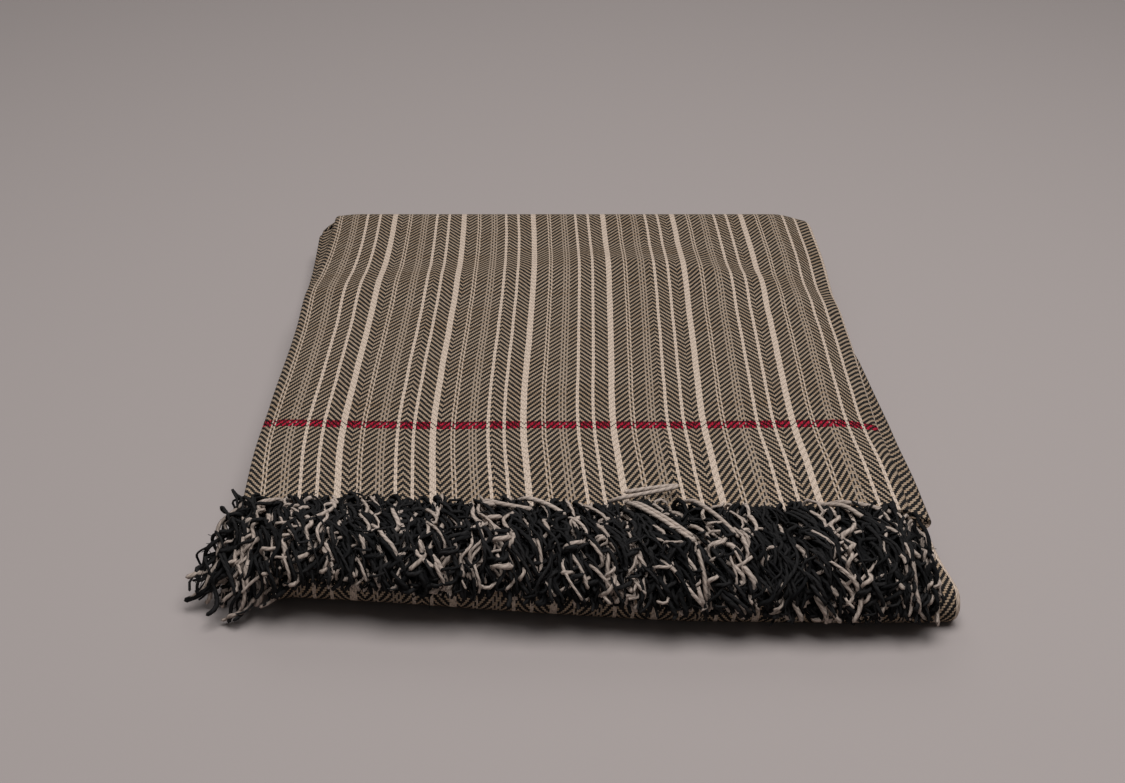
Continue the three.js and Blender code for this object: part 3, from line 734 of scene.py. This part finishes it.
class ThrowFold(PropertyGroup):
    """Sizes of the folded cloth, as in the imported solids"""

    cloth_thickness: FloatProperty(
        name="Cloth thickness", description="Thickness of one ply", default=0.0017, unit="LENGTH")
    ply_gap: FloatProperty(
        name="Ply gap", description="Space between plies of a packet", default=0.0007, unit="LENGTH")
    packet_gap: FloatProperty(
        name="Packet gap", description="Space between packets", default=0.0012, unit="LENGTH")
    folded_width: FloatProperty(
        name="Folded width", description="Width of the folded stack", default=0.328, unit="LENGTH")
    back_fold_y: FloatProperty(
        name="Back fold", description="Where the back folds start", default=0.199, unit="LENGTH")
    front_fold_y: FloatProperty(
        name="Front fold", description="Where the front fold starts", default=-0.191, unit="LENGTH")
    upper_end_y: FloatProperty(
        name="Upper end", description="Where the cloth ends on top", default=-0.156, unit="LENGTH")
    lower_end_y: FloatProperty(
        name="Lower end", description="Where the cloth ends inside", default=-0.149, unit="LENGTH")
    flat_width: FloatProperty(
        name="Flat width", description="Width of the open cloth", default=1.301, unit="LENGTH")
    flat_length: FloatProperty(
        name="Flat length", description="Length of the open cloth without its fringe", default=1.562,
        unit="LENGTH")
    top_steps: IntProperty(
        name="Top columns", description="Columns of faces across the top ply", default=88, min=8)
    other_steps: IntProperty(
        name="Other columns", description="Columns of faces across each other ply", default=24, min=4)


class ThrowWeave(PropertyGroup):
    """Threads and colours of the herringbone"""

    end_pitch: FloatProperty(
        name="End pitch", description="Room of one warp end", default=0.000848, precision=6, unit="LENGTH")
    pick_pitch: FloatProperty(
        name="Pick pitch", description="Room of one weft pick", default=0.00119, precision=6, unit="LENGTH")
    repeat_ends: IntProperty(
        name="Repeat", description="Warp ends in one stripe repeat", default=56, min=48)
    float_reach: FloatProperty(
        name="Float reach", description="How far, in picks, a warp float reaches past each end", default=0.22)
    herringbone_ends: IntProperty(
        name="Herringbone", description="Warp ends in one herringbone repeat", default=53, min=8)
    broad_stripe_x: FloatProperty(
        name="First broad stripe", description="Where it lies across the top", default=-0.1224, unit="LENGTH")
    red_line_from_end: FloatProperty(
        name="Red line", description="How far the red line is from the fringe", default=0.070, unit="LENGTH")
    red_line_picks: IntProperty(
        name="Red picks", description="Weft picks in the red line", default=6, min=1)
    black: FloatVectorProperty(
        name="Black", description="Black warp", subtype="COLOR", size=4, default=(0.015, 0.014, 0.014, 1.0))
    cream: FloatVectorProperty(
        name="Cream", description="Cream warp", subtype="COLOR", size=4, default=(0.61, 0.49, 0.40, 1.0))
    ecru: FloatVectorProperty(
        name="Ecru", description="Weft", subtype="COLOR", size=4, default=(0.42, 0.315, 0.225, 1.0))
    tan: FloatVectorProperty(
        name="Tan", description="Darker picks of the weft", subtype="COLOR", size=4,
        default=(0.30, 0.19, 0.105, 1.0))
    red: FloatVectorProperty(
        name="Red", description="Red weft line", subtype="COLOR", size=4, default=(0.46, 0.014, 0.04, 1.0))


class ThrowFringe(PropertyGroup):
    """Strands of the fringe"""

    strand_pitch: FloatProperty(
        name="Strand pitch", description="Room of one strand, two warp ends", default=0.0017, unit="LENGTH")
    strand_radius: FloatProperty(
        name="Strand radius", description="Half the thickness of a strand", default=0.00085, unit="LENGTH")
    bunch_size: FloatProperty(
        name="Bunch", description="Strands that cling together, on average", default=2.2, min=1.0)
    curl_depth: FloatProperty(
        name="Curl", description="Depth of the curls", default=0.0036, unit="LENGTH")
    strand_points: IntProperty(
        name="Points", description="Places along each strand", default=38, min=6)
    fibre_count: IntProperty(
        name="Fibres", description="Loose fibres on each fringe", default=3500, min=10)
    fibre_length: FloatProperty(
        name="Fibre length", description="Length of the longest loose fibres", default=0.0035, unit="LENGTH")
    fibre_radius: FloatProperty(
        name="Fibre radius", description="Half the thickness of a loose fibre", default=0.0002, precision=5,
        unit="LENGTH")
    twist_pitch: FloatProperty(
        name="Twist", description="Length of one turn of the yarn", default=0.004, unit="LENGTH")
    black: FloatVectorProperty(
        name="Black", description="Black strands", subtype="COLOR", size=4, default=(0.008, 0.008, 0.0085, 1.0))
    worn_black: FloatVectorProperty(
        name="Worn black", description="Palest black strands", subtype="COLOR", size=4,
        default=(0.034, 0.032, 0.032, 1.0))
    cream: FloatVectorProperty(
        name="Cream", description="Cream strands", subtype="COLOR", size=4, default=(0.38, 0.31, 0.265, 1.0))
    pale_cream: FloatVectorProperty(
        name="Pale cream", description="Palest cream strands", subtype="COLOR", size=4,
        default=(0.55, 0.455, 0.395, 1.0))


class ThrowStage(PropertyGroup):
    """Floor, light and camera"""

    floor_colour: FloatVectorProperty(
        name="Floor", description="Floor colour", subtype="COLOR", size=4, default=(0.350, 0.310, 0.300, 1.0))
    key_power: FloatProperty(
        name="Key light", description="Power of the large light above", default=37.0, unit="POWER")
    fill_power: FloatProperty(
        name="Fill light", description="Power of the light at the back", default=8.5, unit="POWER")
    room_light: FloatProperty(
        name="Room light", description="Strength of the light from all round", default=0.09)
    lens: FloatProperty(
        name="Lens", description="Focal length in millimetres", default=50.0)
    camera_place: FloatVectorProperty(
        name="Camera", description="Camera location", subtype="TRANSLATION", default=(-0.007, -0.7926, 0.4627))
    camera_pitch: FloatProperty(
        name="Camera pitch", description="Turn from straight down", subtype="ANGLE",
        default=math.radians(60.29))


class MakeThrowCloth(Operator):
    """Makes the folded cloth"""

    bl_idname = "throw.make_cloth"
    bl_label = "Make cloth"

    def execute(self, context):
        fold = context.scene.throw_fold
        stack = Stack(fold)
        at, left, across = stack.section(fold.top_steps, fold.other_steps)
        stations = stack.stations()
        rows, columns = len(stations), len(at)

        def swept(section):
            n = section[:, 1][None]
            y = stations[:, 0, None] + stations[:, 2, None] * n
            z = stations[:, 1, None] + stations[:, 3, None] * n
            return np.stack([np.broadcast_to(section[:, 0], y.shape), y, z], axis=-1)

        centre = swept(at)
        steps = np.linalg.norm(np.diff(centre, axis=0), axis=2)
        from_end = np.concatenate([np.cumsum(steps[::-1], axis=0)[::-1], np.zeros((1, columns))])
        sides = []
        for share in (0.5, -0.5):
            square = swept(at + left * share * stack.thickness)
            sides.append(stack.settle(square, stack.side_slip(square[..., 1], square[..., 2])).reshape(-1, 3))
        points = np.vstack(sides)
        slid = across[None] + np.interp(from_end, SLIDE_FROM_END, SLIDE)
        near_end = 1.0 - ease(from_end, 100.0, 260.0)
        bowed = from_end - np.interp(at[:, 0], LINE_X, LINE_BACK)[None] * ease(from_end, 0.0, 60.0) * near_end
        flat = np.column_stack([slid.ravel(), bowed.ravel()]) * MM
        flat = np.vstack([flat, flat])

        s, c = np.meshgrid(np.arange(rows - 1), np.arange(columns - 1), indexing="ij")
        a, b = (s * columns + c).ravel(), (s * columns + c + 1).ravel()
        upper = np.column_stack([a, b, b + columns, a + columns])
        under = upper[:, ::-1] + rows * columns
        rim = np.concatenate([np.arange(columns), np.arange(2 * columns - 1, rows * columns, columns),
                              np.arange(rows * columns - 2, (rows - 1) * columns - 1, -1),
                              np.arange((rows - 2) * columns, 0, -columns)])
        rim_next = np.roll(rim, -1)
        edge = np.column_stack([rim_next, rim, rim + rows * columns, rim_next + rows * columns])
        faces = np.vstack([upper, under, edge])
        corners = points[faces]
        outwards = np.einsum("ij,ij->", corners[:, 0], np.cross(corners[:, 1], corners[:, 2])) + np.einsum(
            "ij,ij->", corners[:, 0], np.cross(corners[:, 2], corners[:, 3]))
        if outwards < 0:
            faces = faces[:, ::-1]
        material = weave_material(context.scene.throw_weave, stripe_place(stack) * MM, 0.0)
        corner_flat = flat[faces].reshape(-1, 2)
        cloth = mesh_object("throw_cloth_dressed", points, faces, {FLAT_MAP: corner_flat}, material)
        cloth.data.set_sharp_from_angle(angle=math.radians(60.0))
        set_on_frame(cloth, "throw_cloth")
        return {"FINISHED"}


class MakeThrowFringe(Operator):
    """Makes the strands of both fringes"""

    bl_idname = "throw.make_fringe"
    bl_label = "Make fringe"

    def execute(self, context):
        fringe = context.scene.throw_fringe
        stack = Stack(context.scene.throw_fold)
        yarns = (
            yarn_material("black_yarn", fringe.black, fringe.worn_black, fringe.twist_pitch),
            yarn_material("cream_yarn", fringe.cream, fringe.pale_cream, fringe.twist_pitch),
        )
        ends = (("upper", 3, "upper_end", 1.0, 11), ("lower", 2, "lower_end", -1.0, 23))
        for name, packet, end, out_z, seed in ends:
            lines, radii, tones, cream = fringe_lines(stack, fringe, packet, end, out_z, seed)
            for is_cream, colour in ((False, "black"), (True, "cream")):
                chosen = cream == is_cream
                made = strand_object(f"fringe_{name}_{colour}", lines[chosen], radii[chosen], tones[chosen], 4,
                                     yarns[int(is_cream)])
                set_on_frame(made, f"fringe_{name}_end")
            rng = np.random.default_rng(seed + 1)
            fibres = fuzz_lines(lines[~cream], fringe.fibre_count, fringe.fibre_length / MM, rng)
            radii = np.full(fibres.shape[:2], fringe.fibre_radius / MM)
            made = strand_object(f"fringe_{name}_fuzz", fibres, radii, rng.random(len(fibres)), 3, yarns[0])
            set_on_frame(made, f"fringe_{name}_end")
        rng = np.random.default_rng(5)
        stray = np.concatenate([smooth_lines(np.array([line]), 24) for line in STRAY_STRANDS])
        radii = np.full(stray.shape[:2], 1.35 * fringe.strand_radius / MM)
        made = strand_object("fringe_upper_stray", stray, radii, rng.random(len(stray)), 6, yarns[1])
        set_on_frame(made, "fringe_upper_end")
        return {"FINISHED"}


class DeclareThrowCloth(Operator):
    """Takes no step; the open size of the cloth and what goes with it are not stated here."""

    bl_idname = "throw.declare_cloth"
    bl_label = "Declare cloth"

    def execute(self, context):
        return {"FINISHED"}


class MakeThrowStage(Operator):
    """Makes the floor, the lights and the camera"""

    bl_idname = "throw.make_stage"
    bl_label = "Make stage"

    def execute(self, context):
        stage = context.scene.throw_stage
        w = Wiring("floor_paint")
        w.shader.inputs["Base Color"].default_value = stage.floor_colour
        w.shader.inputs["Roughness"].default_value = 0.9
        w.shader.inputs["Specular IOR Level"].default_value = 0.1
        half = 8.0 / MM
        corners = np.array([(-half, -half, 0.0), (half, -half, 0.0), (half, half, 0.0), (-half, half, 0.0)])
        floor = mesh_object("floor", corners, np.array([[0, 1, 2, 3]]), {}, w.material)

        def area_light(name, place, size, power):
            data = bpy.data.lights.new(name, "AREA")
            data.shape = "DISK"
            data.size = size
            data.energy = power
            lamp = bpy.data.objects.new(name, data)
            lamp.location = place
            direction = -lamp.location
            lamp.rotation_euler = direction.to_track_quat("-Z", "Y").to_euler()
            context.scene.collection.objects.link(lamp)

        area_light("key_light", (0.22, -0.3, 1.85), 1.5, stage.key_power)
        area_light("fill_light", (-0.2, 1.7, 1.9), 1.6, stage.fill_power)
        world = bpy.data.worlds.new("studio")
        world.use_nodes = True
        background = world.node_tree.nodes["Background"]
        background.inputs["Color"].default_value = (1.0, 0.97, 0.96, 1.0)
        background.inputs["Strength"].default_value = stage.room_light
        context.scene.world = world
        context.scene.view_settings.view_transform = "Standard"

        data = bpy.data.cameras.new("camera")
        data.lens = stage.lens
        data.sensor_width = 36.0
        camera = bpy.data.objects.new("camera", data)
        camera.location = stage.camera_place
        camera.rotation_euler = (stage.camera_pitch, 0.0, 0.0)
        context.scene.collection.objects.link(camera)
        context.scene.camera = camera
        return {"FINISHED"}


class ThrowPanel(Panel):
    """Sizes, colours and steps of the folded throw"""

    bl_idname = "VIEW3D_PT_folded_throw"
    bl_label = "Folded throw"
    bl_space_type = "VIEW_3D"
    bl_region_type = "UI"
    bl_category = "Throw"

    def draw(self, context):
        for title, group in (("Fold", context.scene.throw_fold), ("Weave", context.scene.throw_weave),
                             ("Fringe", context.scene.throw_fringe), ("Stage", context.scene.throw_stage)):
            box = self.layout.box()
            box.label(text=title)
            for key in group.__annotations__:
                box.prop(group, key)
        for operator in OPERATORS:
            self.layout.operator(operator.bl_idname)


GROUPS = {
    "throw_fold": ThrowFold,
    "throw_weave": ThrowWeave,
    "throw_fringe": ThrowFringe,
    "throw_stage": ThrowStage,
}
OPERATORS = (MakeThrowStage, MakeThrowCloth, MakeThrowFringe, DeclareThrowCloth)


def register():
    for name, group in GROUPS.items():
        bpy.utils.register_class(group)
        setattr(bpy.types.Scene, name, PointerProperty(type=group))
    for operator in OPERATORS:
        bpy.utils.register_class(operator)
    bpy.utils.register_class(ThrowPanel)


def unregister():
    bpy.utils.unregister_class(ThrowPanel)
    for operator in reversed(OPERATORS):
        bpy.utils.unregister_class(operator)
    for name, group in reversed(GROUPS.items()):
        delattr(bpy.types.Scene, name)
        bpy.utils.unregister_class(group)


def main():
    register()
    bpy.ops.throw.make_stage()
    bpy.ops.throw.make_cloth()
    bpy.ops.throw.make_fringe()
    bpy.ops.throw.declare_cloth()


if __name__ == "__main__":
    main()
